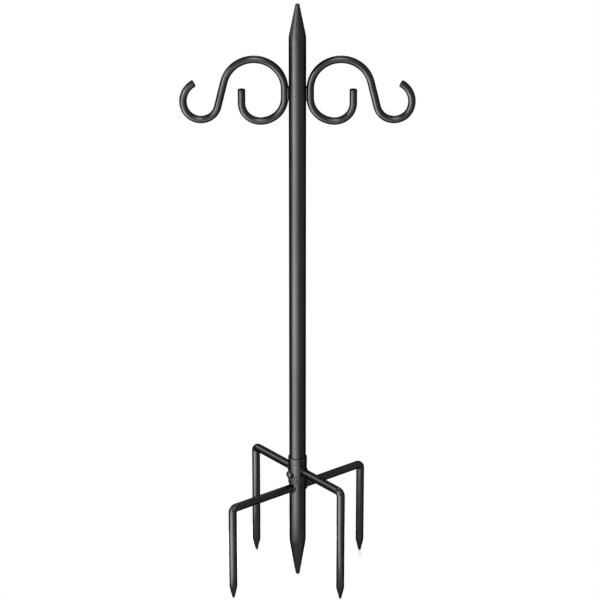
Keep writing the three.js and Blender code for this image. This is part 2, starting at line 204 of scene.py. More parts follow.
class StageSettings(bpy.types.PropertyGroup):
    """The camera, the floor and the lights."""
    distance: length("Camera distance", 3.8, "From the camera to the point it looks at")
    pitch: angle("Camera pitch", 22.0, "How far the camera looks down")
    aim_x: FloatProperty(name="Aim x", description="Where the camera looks, sideways", default=0.0037,
                         unit="LENGTH", subtype="DISTANCE", precision=5)
    aim_z: length("Aim height", 0.4592, "Height that the camera looks at")
    lens: FloatProperty(name="Lens", description="Focal length in millimetres", default=152.9)
    floor_radius: length("Floor radius", 0.18, "Radius of the round floor under the stand")
    floor_colour: colour("Floor", (0.70, 0.70, 0.70), "Colour of the floor")
    key_power: power("Key light", 105.0, "Power of the main softbox")
    high_power: power("High light", 36.0, "Power of the small softbox over the main one")
    front_power: power("Front light", 26.0, "Power of the weaker softbox in front")
    side_power: power("Side light", 23.0, "Power of the small softbox on the left")
    back_power: power("Back light", 55.0, "Power of the softbox behind")
    top_power: power("Top lights", 43.0, "Power of each of the two high softboxes")
    fill: FloatProperty(name="Fill", description="Light that comes from all round", default=0.25)


# ---- Surfaces ----------------------------------------------------------------

# Faces that meet at more than SHARP_EDGE keep a crisp edge, and a quarter-round has ROUND_STEPS points.
SHARP_EDGE = math.radians(42)
ROUND_STEPS = 6


def turns(count):
    """Angles spread evenly round a full turn, the last short of the first."""
    return np.arange(count) * (2 * np.pi / count)


def skin(rings, looped=False):
    """Vertices and faces of a surface through a stack of closed rings, an array [ring, point, xyz].
    Each ring joins the next by quads. A looped stack joins its last ring to its first; otherwise a
    single point in the middle of each end ring closes the surface with a fan."""
    count, around = rings.shape[:2]
    rows = np.arange(count if looped else count - 1)[:, None]
    columns = np.arange(around)[None, :]
    here, there = rows * around, ((rows + 1) % count) * around
    after = (columns + 1) % around
    quads = np.stack([here + columns, here + after, there + after, there + columns], axis=-1)
    quads = quads.reshape(-1, 4)
    caps = np.empty((0, 3), dtype=int)
    vertices = rings.reshape(-1, 3)
    if not looped:
        last = (count - 1) * around
        ends = np.stack([rings[0].mean(axis=0), rings[-1].mean(axis=0)])
        vertices = np.concatenate([vertices, ends])
        ring = np.arange(around)
        following = (ring + 1) % around
        low = np.stack([following, ring, np.full(around, count * around)], axis=-1)
        high = np.stack([last + ring, last + following, np.full(around, count * around + 1)], axis=-1)
        caps = np.concatenate([low, high])
    return vertices, quads, caps


def outwards(vertices, quads, caps):
    """The faces turned so that they point out of the closed surface: the sum of each triangle's
    corner times the cross product of the other two is six times the volume, and is positive then."""
    triangles = np.concatenate([quads[:, [0, 1, 2]], quads[:, [0, 2, 3]], caps])
    a, b, c = (vertices[triangles[:, k]] - vertices[0] for k in range(3))
    volume = np.einsum("ij,ij->i", a, np.cross(b, c)).sum()
    order = slice(None) if volume > 0 else slice(None, None, -1)
    return quads[:, order].tolist() + caps[:, order].tolist()


def add_piece(name, surface, body, slot, nodes):
    """Makes a smooth shaded piece of a closed surface, in the material of a slot, which rides on a body
    and stands for nodes."""
    mesh = bpy.data.meshes.new(name)
    mesh.from_pydata(surface[0].tolist(), [], outwards(*surface))
    mesh.polygons.foreach_set("use_smooth", np.ones(len(mesh.polygons), dtype=bool))
    mesh.set_sharp_from_angle(angle=SHARP_EDGE)
    mesh.materials.append(finish_of(slot))
    piece = bpy.data.objects.new(name, mesh)
    bpy.context.scene.collection.objects.link(piece)
    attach(piece, body)
    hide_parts(*nodes)
    return piece


def turned(radii, heights, around):
    """Rings of a surface of revolution about +Z: each ring has one radius, or one for each of its
    points, and one height. A point stands at the radius times the cosine and sine of its angle."""
    theta = turns(around)[None, :]
    radii = np.asarray(radii, dtype=float)
    radii = radii[:, None] if radii.ndim == 1 else radii
    heights = np.asarray(heights, dtype=float)[:, None]
    x, y = radii * np.cos(theta), radii * np.sin(theta)
    return np.stack([x, y, np.broadcast_to(heights, x.shape)], axis=-1)


def laid(rings, direction, height):
    """Rings made about +Z, turned so that +Z points along a level direction at a height. The old x
    runs level across the direction and the old y runs up."""
    along = np.array([math.cos(direction), math.sin(direction), 0.0])
    across = np.array([-along[1], along[0], 0.0])
    up = np.array([0.0, 0.0, 1.0])
    x, y, z = (rings[..., k, None] for k in range(3))
    return x * across + y * up + z * along + height * up


def rounded(corner_radius, reach, level_to, rising=True):
    """Radii and heights of a quarter-round between an upright wall at a radius and a level face at a
    height: the centre lies inside both by the corner's radius, and the arc runs a quarter turn."""
    t = np.linspace(0, np.pi / 2, ROUND_STEPS)
    sign = 1 if rising else -1
    radii = reach - corner_radius * (1 - np.cos(t))
    heights = level_to - sign * corner_radius * (1 - np.sin(t))
    return radii, heights


# ---- Bent rods ---------------------------------------------------------------

# A rod has a station for each ARC_STEP of a bend and each STRIDE in metres of a straight length.
ARC_STEP = math.radians(2.0)
STRIDE = 0.006
ROD_SIDES = 40
# Rings on the flat of a sawn end, as shares of its radius.
CUT_SHARES = np.array([0.8, 0.45, 0.15])
# A fixed arm starts this far from the pole's axis, and a swivelling one this far out of the bore.
FIXED_ARM_START = 0.0003
SWIVEL_ARM_GAP = 0.0001
# A prong's cone eases in over this share of its length, and its tip closes at this share of its radius.
CONE_STATIONS = 28
SHOULDER_EASE = 0.12
TIP_CLOSING = 0.02


def bent_path(start, heading, pieces):
    """Points and headings along straight lengths (length,) and arcs (radius, sweep) in a plane. On an
    arc, a point is the centre plus the radius turned to the current heading, and the centre lies to
    the left of the path for a positive sweep. Straight lengths are cut into short strides."""
    places, headings = [np.array([start])], [np.array([heading])]
    for piece in pieces:
        here = places[-1][-1]
        if len(piece) == 1:
            count = max(1, math.ceil(piece[0] / STRIDE))
            t = np.arange(1, count + 1) / count
            step = np.array([math.cos(heading), math.sin(heading)]) * piece[0]
            places.append(here + t[:, None] * step)
            headings.append(np.full(count, heading))
            continue
        radius, sweep = piece
        count = math.ceil(abs(sweep) / ARC_STEP)
        turned_to = heading + sweep * np.arange(1, count + 1) / count
        side = math.copysign(radius, sweep)
        centre = here + side * np.array([-math.sin(heading), math.cos(heading)])
        places.append(centre + side * np.stack([np.sin(turned_to), -np.cos(turned_to)], axis=-1))
        headings.append(turned_to)
        heading = turned_to[-1]
    return np.concatenate(places), np.concatenate(headings)


def rod_rings(places, headings, radii, along):
    """Rings of a rod bent in the upright plane of a level direction. A ring lies across the path: the
    radius times the cosine along the path's left-hand normal, and times the sine across the plane."""
    along, up = np.array(along), np.array([0.0, 0.0, 1.0])
    phi = turns(ROD_SIDES)[None, :, None]
    normal = (-np.sin(headings))[:, None] * along + np.cos(headings)[:, None] * up
    centre = places[:, :1] * along + places[:, 1:] * up
    ring = np.cos(phi) * normal[:, None, :] + np.sin(phi) * np.cross(along, up)
    return centre[:, None, :] + radii[:, None, None] * ring


def cut_end(place, heading, radius, corner):
    """Stations of a rod's sawn end: past the last full ring the radius draws in along a quarter-round
    of the corner's size, and then runs flat towards the middle."""
    t = np.linspace(0, np.pi / 2, ROUND_STEPS)[1:]
    direction = np.array([math.cos(heading), math.sin(heading)])
    reach = np.concatenate([corner * np.sin(t), np.full(len(CUT_SHARES), corner)])
    radii = np.concatenate([radius - corner * (1 - np.cos(t)), (radius - corner) * CUT_SHARES])
    return place + reach[:, None] * direction, np.full(len(reach), heading), radii


def hook_surface(sizes, side):
    """One scroll hook: a rod along the curl, the weld, the crown, the neck, the cup and the lip, with
    a sawn end at both ends. side is -1 for the left hook and 1 for the right."""
    start = np.array([-sizes.offset, sizes.weld_height])
    half = sizes.weld_line / 2
    inner, inner_heads = bent_path(start, -math.pi / 2, [
        (half,), (sizes.root_radius, -sizes.curl_sweep), (sizes.curl_radius, -sizes.curl_sweep),
        (sizes.curl_end - sizes.end_round,)])
    outer, outer_heads = bent_path(start, math.pi / 2, [
        (half,), (sizes.crown_radius, sizes.crown_sweep), (sizes.neck,),
        (sizes.cup_radius, -sizes.cup_sweep), (sizes.lip_radius, -sizes.lip_sweep)])
    radius = sizes.rod / 2
    curl_cut = cut_end(inner[-1], inner_heads[-1], radius, sizes.end_round)
    lip_cut = cut_end(outer[-1], outer_heads[-1], radius, sizes.end_round)
    places = np.concatenate([curl_cut[0][::-1], inner[::-1], outer[1:], lip_cut[0]])
    headings = np.concatenate([curl_cut[1] + math.pi, inner_heads[::-1] + math.pi,
                               outer_heads[1:], lip_cut[1]])
    full = len(inner) + len(outer) - 1
    radii = np.concatenate([curl_cut[2][::-1], np.full(full, radius), lip_cut[2]])
    return skin(rod_rings(places, headings, radii, (-side, 0.0, 0.0)))


def prong_surface(sizes, direction, start, reach, height):
    """One prong: out along a level direction, round one bend and down to a blunt point. The point's
    radius falls in a straight line from the rod's to the tip's, eased at the shoulder, and the tip
    ends in a quarter-round."""
    radius, tip = sizes.rod / 2, sizes.tip / 2
    places, headings = bent_path(np.array([start, height]), 0.0, [
        (reach - sizes.bend - start,), (sizes.bend, -math.pi / 2),
        (height - sizes.bend - sizes.point,)])
    t = np.linspace(0, 1, CONE_STATIONS)[1:]
    eased_in = np.where(t < SHOULDER_EASE, t * t / (2 * SHOULDER_EASE), t - SHOULDER_EASE / 2)
    cone = radius - (radius - tip) * eased_in / (1 - SHOULDER_EASE / 2)
    q = np.linspace(0, np.pi / 2, ROUND_STEPS)[1:]
    below = np.concatenate([t * (sizes.point - tip), sizes.point - tip + tip * np.sin(q) * 0.999])
    radii = np.concatenate([np.full(len(places), radius), cone, tip * (np.cos(q) + TIP_CLOSING)])
    foot = places[-1]
    point = np.stack([np.full(len(below), foot[0]), foot[1] - below], axis=-1)
    places = np.concatenate([places, point])
    headings = np.concatenate([headings, np.full(len(below), headings[-1])])
    along = (math.cos(direction), math.sin(direction), 0.0)
    return skin(rod_rings(places, headings, radii, along))


# ---- Pole --------------------------------------------------------------------

POLE_SIDES = 132
TUBE_STATIONS = 120
SHOULDER_STATIONS = 17
FALL_STATIONS = 60
TIP_STATIONS = 9
# Rings in a tip's dimple, as shares of its radius.
DIMPLE_SHARES = np.array([0.75, 0.55, 0.35, 0.15])
# Shares of a point's length where its pleats have faded in, start to fade out and are gone.
PLEAT_FADES = (0.12, 0.40, 0.85)


def point_profile(sizes, total):
    """Radii and heights of a point with its spigot's shoulder at height 0. The wall runs straight up a
    little, bends over at the shoulder in a parabola, falls in a straight line to the tip's rounding,
    and the flat tip has a shallow dimple, where the forming dies met."""
    tip, ring, shoulder = sizes.tip_diameter / 2, sizes.tip_round, sizes.shoulder
    lean = math.atan2(POLE_RADIUS - tip, total)
    heights = np.concatenate([np.linspace(0, shoulder * 2, SHOULDER_STATIONS),
                              np.linspace(shoulder * 2, total - ring, FALL_STATIONS)[1:]])
    bend = np.clip(heights / (2 * shoulder), 0, 1)
    run = np.where(heights < 2 * shoulder, shoulder * bend * bend, heights - shoulder)
    wall = POLE_RADIUS - (POLE_RADIUS - tip) * run / (total - ring - shoulder)
    t = np.linspace(lean, math.pi / 2, TIP_STATIONS)[1:]
    flat = tip - ring * math.cos(lean)
    bore = POLE_RADIUS - sizes.wall - sizes.spigot_gap
    radii = np.concatenate([[0.3 * bore, bore - sizes.spigot_chamfer, bore, bore], wall,
                            flat + ring * np.cos(t), flat * DIMPLE_SHARES])
    heights = np.concatenate([
        [-sizes.spigot, -sizes.spigot, sizes.spigot_chamfer - sizes.spigot, -0.00002], heights,
        total - ring + ring * np.sin(t), total - sizes.dimple * (1 - DIMPLE_SHARES ** 2)])
    return radii, heights


def point_surface(sizes, total, shoulder_height, upwards):
    """A point of the pole, turned about the axis, with faint pleats: the radius loses a small cosine
    of a whole number of turns, which fades in over the shoulder and out towards the tip, and whose
    depth wanders round the point by a product of two slow cosines."""
    radii, heights = point_profile(sizes, total)
    theta = turns(POLE_SIDES)[None, :]
    t = np.clip(heights / total, 0, 1)[:, None]
    full, fading, gone = PLEAT_FADES
    fade = np.clip(t / full, 0, 1) * np.clip((gone - t) / (gone - fading), 0, 1)
    wander = 0.5 + 0.5 * np.cos(3 * theta + 1.3) * np.cos(5 * theta + 0.4)
    pleats = sizes.pleat * fade * (np.cos(sizes.pleats * theta) * wander - 1)
    sign = 1 if upwards else -1
    return skin(turned(radii[:, None] + pleats, shoulder_height + sign * heights, POLE_SIDES))


def tube_surface(sizes, bottom, top):
    """The pole's tube: up its outer wall and down its bore, closed over both rims."""
    outer = np.linspace(bottom, top, TUBE_STATIONS)
    radii = np.repeat([POLE_RADIUS, POLE_RADIUS - sizes.wall], TUBE_STATIONS)
    return skin(turned(radii, np.concatenate([outer, outer[::-1]]), POLE_SIDES), looped=True)


# ---- Welds -------------------------------------------------------------------

BEAD_SIDES = 28
# A ripple's height as a share of the bead's radius, how far it lags at the sides as a share of its
# pitch, the power of its rise, and the share of its pitch that it takes to fall.
RIPPLE_HEIGHT = 0.10
RIPPLE_LAG = 0.45
RIPPLE_RISE = 0.6
RIPPLE_FALL = 0.25
# A bead's radius at its two ends, as a share raised to one over the curve.
TAPER_END = 0.0006
TAPER_CURVE = 2.2
# A hook's bead stands off the pole by a share of its radius, faces a share sideways and sways.
HOOK_BEAD_STATIONS = 90
HOOK_BEAD_BLUNT = 5
HOOK_BEAD_STANDOFF = 0.55
HOOK_BEAD_FACING = 0.35
HOOK_BEAD_SWAY = 0.00022
HOOK_RIPPLE_PITCH = 0.0019
ARM_BEAD_STATIONS = 150
ARM_BEAD_BLUNT = 14
ARM_RIPPLE_PITCH = 0.0017


def bead_surface(path, normal, binormal, radii, pitch):
    """A weld bead swept along a path: a ring in the plane of the normal and binormal at each point. The
    radius swells and falls as a saw-tooth with rounded tops once each pitch, later on the ring's sides
    than on its crest, which gives the curved ripples of a run of weld."""
    phi = turns(BEAD_SIDES)[None, :]
    steps = np.linalg.norm(np.diff(path, axis=0), axis=1)
    travelled = np.concatenate([[0], np.cumsum(steps)])[:, None]
    phase = travelled / pitch + RIPPLE_LAG * (1 - np.cos(phi))
    saw = phase - np.floor(phase)
    swell = saw ** RIPPLE_RISE * np.clip((1 - saw) / RIPPLE_FALL, 0, 1) - 0.5
    ring = (radii[:, None] * (1 + RIPPLE_HEIGHT * swell))[..., None]
    phi = phi[..., None]
    return skin(path[:, None, :] + ring * np.cos(phi) * normal[:, None, :]
                + ring * np.sin(phi) * binormal[:, None, :])


def taper(count, blunt):
    """The share of its full radius that a bead has at each station: a superellipse over its length."""
    t = np.linspace(-1, 1, count)
    return np.clip(1 - np.abs(t) ** blunt, TAPER_END, 1) ** (1 / TAPER_CURVE)


def hook_bead_surface(sizes, side, front):
    """An upright bead in the valley between the pole and a hook. It sways a little along a sine, and
    its crest faces out of the valley."""
    count = HOOK_BEAD_STATIONS
    off_axis = POLE_RADIUS + sizes.bead_radius * HOOK_BEAD_STANDOFF
    across = math.sqrt(off_axis ** 2 - sizes.bead_across ** 2)
    t = np.linspace(-1, 1, count)
    x = side * (across + HOOK_BEAD_SWAY * np.sin(7 * t + side + 2 * front))
    y = np.full(count, front * sizes.bead_across)
    z = sizes.weld_height + t * sizes.bead_length / 2
    facing = np.array([HOOK_BEAD_FACING * side, front, 0.0])
    facing /= np.linalg.norm(facing)
    normal = np.broadcast_to(facing, (count, 3))
    binormal = np.broadcast_to(np.cross([0.0, 0.0, 1.0], facing), (count, 3))
    return bead_surface(np.stack([x, y, z], axis=-1), normal, binormal,
                        sizes.bead_radius * taper(count, HOOK_BEAD_BLUNT), HOOK_RIPPLE_PITCH)


def arm_bead_surface(sizes, tube_radius, direction, height, broken_at, sweep):
    """A fillet bead round a level arm where it meets the upright tube. Its middle line stands off both
    surfaces: across is the arm's radius times the cosine, up is that radius times the sine, and out is
    the root of the tube's radius squared less across squared. The ring's normal splits the angle
    between the two surfaces."""
    count = ARM_BEAD_STATIONS
    tube, arm = tube_radius + sizes.bead_standoff, sizes.rod / 2 + sizes.bead_standoff
    t = broken_at + math.pi - sweep / 2 + np.linspace(0, 1, count) * sweep
    across, up = arm * np.cos(t), arm * np.sin(t)
    out = np.sqrt(tube ** 2 - across ** 2)
    line = np.stack([out, across, up], axis=-1)
    off_arm = np.stack([np.zeros(count), np.cos(t), np.sin(t)], axis=-1)
    off_tube = np.stack([out, across, np.zeros(count)], axis=-1) / tube
    tangent = np.gradient(line, axis=0)
    tangent /= np.linalg.norm(tangent, axis=1)[:, None]
    normal = off_arm + off_tube
    normal -= np.einsum("ij,ij->i", normal, tangent)[:, None] * tangent
    normal /= np.linalg.norm(normal, axis=1)[:, None]
    c, s = math.cos(direction), math.sin(direction)
    spin = np.array([[c, s, 0.0], [-s, c, 0.0], [0.0, 0.0, 1.0]])
    path, binormal = line @ spin + [0.0, 0.0, height], np.cross(tangent, normal) @ spin
    return bead_surface(path, normal @ spin, binormal, sizes.bead_radius * taper(count, ARM_BEAD_BLUNT),
                        ARM_RIPPLE_PITCH)


# ---- Collar, washer and screw ------------------------------------------------

COLLAR_SIDES = 360
COLLAR_STATIONS = 150
BORE_STATIONS = 24
BORE_LIP = 0.0003
# How far the screw's hole stops short of the bore, and the most that the pad's rim stands off its face.
HOLE_STANDOFF = 0.0002
PAD_RIM = 0.0016
# From the pad's edge, the hole's edge and the lower rim, where each change starts and ends, in metres.
PAD_FADE = (-0.0002, 0.0005)
HOLE_FADE = (-0.00015, 0.00015)
SPATTER_FADE = (0.0002, 0.0014)
RIM_FADE = (0.0004, 0.002)
# The middle of the spatter, round from the screw and up from the lower rim, its spread round and up,
# the least and most of a drop's height as shares, and of its width in metres.
SPATTER_SEED = 11
SPATTER_TURN = 0.34
SPATTER_RISE = 0.0068
SPATTER_SPREAD = (0.26, 0.0034)
SPATTER_HEIGHTS = (0.3, 1.0)
SPATTER_WIDTHS = (0.0004, 0.0009)
SCREW_SIDES = 96
DOME_STATIONS = 20


def eased(value, low, high):
    """0 under low, 1 over high and a smooth step between."""
    t = np.clip((value - low) / (high - low), 0, 1)
    return t * t * (3 - 2 * t)


def turned_from(theta, direction):
    """Angles from a direction, from minus a half turn to a half turn."""
    return (theta - direction + np.pi) % (2 * np.pi) - np.pi


def spatter(sizes, theta, heights, direction):
    """How far the weld spatter under the pad stands off the collar's wall: at each place the tallest
    of many small bells, whose places, heights and widths come from a seeded table."""
    count = sizes.spatter_bells
    table = np.random.default_rng(SPATTER_SEED)
    places = table.normal(0, 1, (count, 2)) * SPATTER_SPREAD
    tall = table.uniform(*SPATTER_HEIGHTS, count) * sizes.spatter
    widths = table.uniform(*SPATTER_WIDTHS, count)
    side = turned_from(theta, direction + SPATTER_TURN)[..., None] - places[:, 0]
    rise = (heights - COLLAR_BOTTOM - SPATTER_RISE)[:, None, None] - places[:, 1]
    bells = tall * np.exp(-((side * sizes.radius) ** 2 + rise ** 2) / (2 * widths ** 2))
    return bells.max(axis=-1)


def collar_surface(sizes, direction, screw_height):
    """The collar: up its outer wall, over the rounded rim and down its bore. Round the screw the wall
    swells out to a flat pad, where the radius is the pad's distance over the cosine of the angle from
    the screw, and within the screw's hole it falls to the bore."""
    theta = turns(COLLAR_SIDES)[None, :]
    low_r, low_h = rounded(sizes.rim, sizes.radius, COLLAR_BOTTOM, rising=False)
    high_r, high_h = rounded(sizes.rim, sizes.radius, COLLAR_TOP)
    wall_h = np.linspace(COLLAR_BOTTOM + sizes.rim, COLLAR_TOP - sizes.rim, COLLAR_STATIONS)[1:-1]
    heights = np.concatenate([low_h[::-1], wall_h, high_h])
    wall = np.concatenate([low_r[::-1], np.full(len(wall_h), sizes.radius), high_r])[:, None]
    turn = turned_from(theta, direction)
    from_screw = np.hypot(wall * np.sin(turn), heights[:, None] - screw_height)
    from_screw = np.where(np.cos(turn) > 0, from_screw, 1.0)
    pad_edge, hole_edge = from_screw - sizes.pad_diameter / 2, from_screw - sizes.washer_hole / 2
    pad = np.minimum(sizes.pad_face / np.clip(np.cos(turn), 0.3, 1), sizes.pad_face + PAD_RIM)
    outer = wall + (1 - eased(pad_edge, *PAD_FADE)) * (pad - wall)
    outer = outer + (1 - eased(hole_edge, *HOLE_FADE)) * (sizes.bore + HOLE_STANDOFF - outer)
    shown = eased(pad_edge, *SPATTER_FADE) * eased(heights - COLLAR_BOTTOM, *RIM_FADE)[:, None]
    outer = outer + shown * spatter(sizes, theta, heights, direction)
    bore_h = np.linspace(COLLAR_TOP - BORE_LIP, COLLAR_BOTTOM + BORE_LIP, BORE_STATIONS)
    inner = np.concatenate([[sizes.bore + BORE_LIP], np.full(BORE_STATIONS, sizes.bore),
                            [sizes.bore + BORE_LIP]])
    radii = np.concatenate([outer, np.repeat(inner[:, None], COLLAR_SIDES, axis=1)])
    heights = np.concatenate([heights, [COLLAR_TOP], bore_h, [COLLAR_BOTTOM]])
    return skin(turned(radii, heights, COLLAR_SIDES), looped=True)


def washer_surface(sizes, direction, height):
    """The washer: a flat ring whose four edges are rounded by small quarter-rounds."""
    outer, hole, thick = sizes.washer_diameter / 2, sizes.washer_hole / 2, sizes.washer_thickness
    edge = sizes.washer_edge
    corners = [(outer - edge, thick - edge), (hole + edge, thick - edge), (hole + edge, edge),
               (outer - edge, edge)]
    quarter = np.linspace(0, np.pi / 2, 5)
    swing = np.arange(4)[:, None] * np.pi / 2 + quarter
    centre_r, centre_h = np.array(corners).T[..., None]
    radii = (centre_r + edge * np.cos(swing)).ravel()
    heights = (centre_h + edge * np.sin(swing)).ravel() + sizes.washer_seat
    return skin(laid(turned(radii, heights, SCREW_SIDES), direction, height), looped=True)


def screw_surface(sizes, direction, height):
    """The lock screw: up its shank, out under the head, over the head's rounded edge and dome, and down
    into a six-sided socket, whose radius is half the width across flats over the cosine of the angle
    from the nearest flat's middle."""
    head, shank, end = sizes.head_diameter / 2, sizes.screw_diameter / 2, -sizes.screw_length
    rim, chamfer, edge = sizes.head_height - sizes.dome, 0.0006, 0.00025
    t = np.linspace(0, np.pi / 2, DOME_STATIONS)
    dome = np.stack([head * np.cos(t), rim + sizes.dome * np.sin(t)], axis=-1)
    mouth = sizes.socket / math.sqrt(3) + 0.00012
    mouth_height = rim + sizes.dome * math.sqrt(1 - (mouth / head) ** 2)
    outline = np.array([
        (shank * 0.3, end), (shank - chamfer, end), (shank, end + chamfer), (shank, 0.0),
        (head - edge, 0.0), (head - 0.00007, 0.00007), (head, edge), *dome[dome[:, 0] > mouth],
        (mouth, mouth_height)])
    nearest = (turns(SCREW_SIDES) + np.pi / 6) % (np.pi / 3) - np.pi / 6
    six_sided = sizes.socket / 2 / np.cos(nearest)
    deep = sizes.head_height - sizes.socket_depth
    socket = np.array([(1.0, mouth_height - 0.0001), (1.0, deep + 0.0001), (0.96, deep),
                       (0.4, deep - 0.0002)])
    radii = np.concatenate([np.repeat(outline[:, :1], SCREW_SIDES, axis=1), socket[:, :1] * six_sided])
    heights = np.concatenate([outline[:, 1], socket[:, 1]]) + sizes.head_seat
    return skin(laid(turned(radii, heights, SCREW_SIDES), direction, height))


# ---- Materials ---------------------------------------------------------------

class Coat(NamedTuple):
    """How one of the record's slots is coated: the names of its colour and roughness in CoatFinish,
    the grain's depth as a share of its width, the scale of the drift in tone along each axis, and the
    depth in metres of a coarser unevenness."""
    colour: str
    roughness: str
    grain: float
    squash: tuple = (1, 1, 1)
    lumps: float = 0.0


COATS = {
    "pole_coat": Coat("coat", "roughness", 0.035, (1, 1, 0.12)),
    "hook_coat": Coat("coat", "rod_roughness", 0.035),
    "prong_coat": Coat("coat", "rod_roughness", 0.035, (1, 1, 0.4)),
    "collar_coat": Coat("coat", "roughness", 0.035),
    # The weld slot takes the darker weld black, which is painted shade in the joints where the beads
    # sit.
    "weld_coat": Coat("weld", "weld_roughness", 0.05, lumps=0.00012),
    "blackened_steel": Coat("steel", "steel_roughness", 0.012, lumps=0.00003),
}
# How often the drift in tone, the drift in gloss and the lumps repeat in a metre.
DRIFT_SCALE = 38.0
CLOUD_SCALE = 150.0
LUMP_SCALE = 420.0
# Shares of a coat's colour that its tone drifts between, and what its roughness gains or loses.
TONES = (0.84, 1.14)
GLOSS = (-0.03, 0.04)


def noise(nodes, links, scale, detail=2.0, roughness=0.5, squash=(1, 1, 1)):
    """Noise on the piece's own coordinates, with a scale for each axis."""
    place = nodes.new("ShaderNodeTexCoord")
    mapping = nodes.new("ShaderNodeMapping")
    mapping.inputs["Scale"].default_value = squash
    texture = nodes.new("ShaderNodeTexNoise")
    texture.inputs["Scale"].default_value = scale
    texture.inputs["Detail"].default_value = detail
    texture.inputs["Roughness"].default_value = roughness
    links.new(place.outputs["Object"], mapping.inputs["Vector"])
    links.new(mapping.outputs["Vector"], texture.inputs["Vector"])
    return texture.outputs["Fac"]


def spread(nodes, links, value, low, high):
    """Carries a noise from its usual span, 0.3 to 0.7, to a span of low to high."""
    ranged = nodes.new("ShaderNodeMapRange")
    ranged.inputs["From Min"].default_value = 0.3
    ranged.inputs["From Max"].default_value = 0.7
    ranged.inputs["To Min"].default_value = low
    ranged.inputs["To Max"].default_value = high
    links.new(value, ranged.inputs["Value"])
    return ranged.outputs["Result"]


def tint(colour, strength):
    """A linear colour times a strength, opaque."""
    return (*(strength * part for part in colour), 1.0)


def bumped(nodes, links, height, depth, below=None):
    """A bump of a depth in metres, laid over another one's normal."""
    bump = nodes.new("ShaderNodeBump")
    bump.inputs["Distance"].default_value = depth
    links.new(height, bump.inputs["Height"])
    if below:
        links.new(below, bump.inputs["Normal"])
    return bump.outputs["Normal"]


def finish_of(slot):
    """The material for one of the record's slots, made once: an even black that drifts a little in
    tone and gloss over a few centimetres, with the fine orange-peel grain of a baked powder coat."""
    name = f"{slot}_finish"
    if name in bpy.data.materials:
        return bpy.data.materials[name]
    coat, finish = COATS[slot], bpy.context.scene.stand_finish
    colour, roughness = getattr(finish, coat.colour), getattr(finish, coat.roughness)
    material = bpy.data.materials.new(name)
    material.use_nodes = True
    nodes, links = material.node_tree.nodes, material.node_tree.links
    shader = nodes["Principled BSDF"]
    shader.inputs["Metallic"].default_value = finish.metallic
    shader.inputs["Specular Tint"].default_value = (finish.edge, finish.edge, finish.edge, 1.0)
    drift = noise(nodes, links, DRIFT_SCALE, detail=3.0, roughness=0.55, squash=coat.squash)
    cloud = noise(nodes, links, CLOUD_SCALE, squash=coat.squash)
    blend = nodes.new("ShaderNodeMix")
    blend.data_type = "RGBA"
    blend.inputs["A"].default_value = tint(colour, TONES[0])
    blend.inputs["B"].default_value = tint(colour, TONES[1])
    links.new(spread(nodes, links, drift, 0.0, 1.0), blend.inputs["Factor"])
    links.new(blend.outputs["Result"], shader.inputs["Base Color"])
    gloss = spread(nodes, links, cloud, roughness + GLOSS[0], roughness + GLOSS[1])
    links.new(gloss, shader.inputs["Roughness"])
    peel = noise(nodes, links, 1.0 / finish.grain, detail=1.5, roughness=0.6)
    normal = bumped(nodes, links, peel, coat.grain * finish.grain)
    if coat.lumps:
        normal = bumped(nodes, links, noise(nodes, links, LUMP_SCALE), coat.lumps, normal)
    links.new(normal, shader.inputs["Normal"])
    return material


# ---- Operators ---------------------------------------------------------------

def prong_directions(sizes):
    """For the front and the back, the name and the directions of the fixed and the swivelling arm."""
    for face, turn in (("front", 0.0), ("back", math.pi)):
        swivel = sizes.swivel_angle + turn
        yield face, swivel - math.pi / 2, swivel


def screw_place(scene):
    """The lock screw's direction from the pole's axis, and its height."""
    return (scene.stand_prongs.swivel_angle - math.pi / 2,
            COLLAR_MIDDLE - scene.stand_collar.screw_drop)


class STAND_OT_pole(bpy.types.Operator):
    """Build the pole's tube and its two points"""
    bl_idname = "stand.pole"
    bl_label = "Pole"

    def execute(self, context):
        sizes = context.scene.stand_pole
        top = (TUBE_TOP + STAND_TOP - sizes.top_point) / 2
        bottom = (TUBE_BOTTOM + sizes.ground_point) / 2
        add_piece("pole_tube_shell", tube_surface(sizes, bottom, top), "pole", "pole_coat",
                  ["pole_tube"])
        add_piece("top_point_shell", point_surface(sizes, STAND_TOP - top, top, True), "pole",
                  "pole_coat", ["top_point"])
        add_piece("ground_point_shell", point_surface(sizes, bottom, bottom, False), "pole",
                  "pole_coat", ["ground_point"])
        return {"FINISHED"}


class STAND_OT_scroll_hooks(bpy.types.Operator):
    """Build the two scroll hooks"""
    bl_idname = "stand.scroll_hooks"
    bl_label = "Scroll hooks"

    def execute(self, context):
        sizes = context.scene.stand_hooks
        for hand, side in (("left", -1), ("right", 1)):
            add_piece(f"{hand}_scroll", hook_surface(sizes, side), "pole", "hook_coat",
                      [f"{hand}_scroll_hook"])
        return {"FINISHED"}


class STAND_OT_hook_welds(bpy.types.Operator):
    """Build the welds between the pole and the hooks"""
    bl_idname = "stand.hook_welds"
    bl_label = "Hook welds"

    def execute(self, context):
        sizes = context.scene.stand_hooks
        for hand, side in (("left", -1), ("right", 1)):
            for face, front in (("front", -1), ("back", 1)):
                add_piece(f"{hand}_hook_bead_{face}", hook_bead_surface(sizes, side, front), "pole",
                          "weld_coat", [f"{hand}_hook_weld_{face}"])
        return {"FINISHED"}


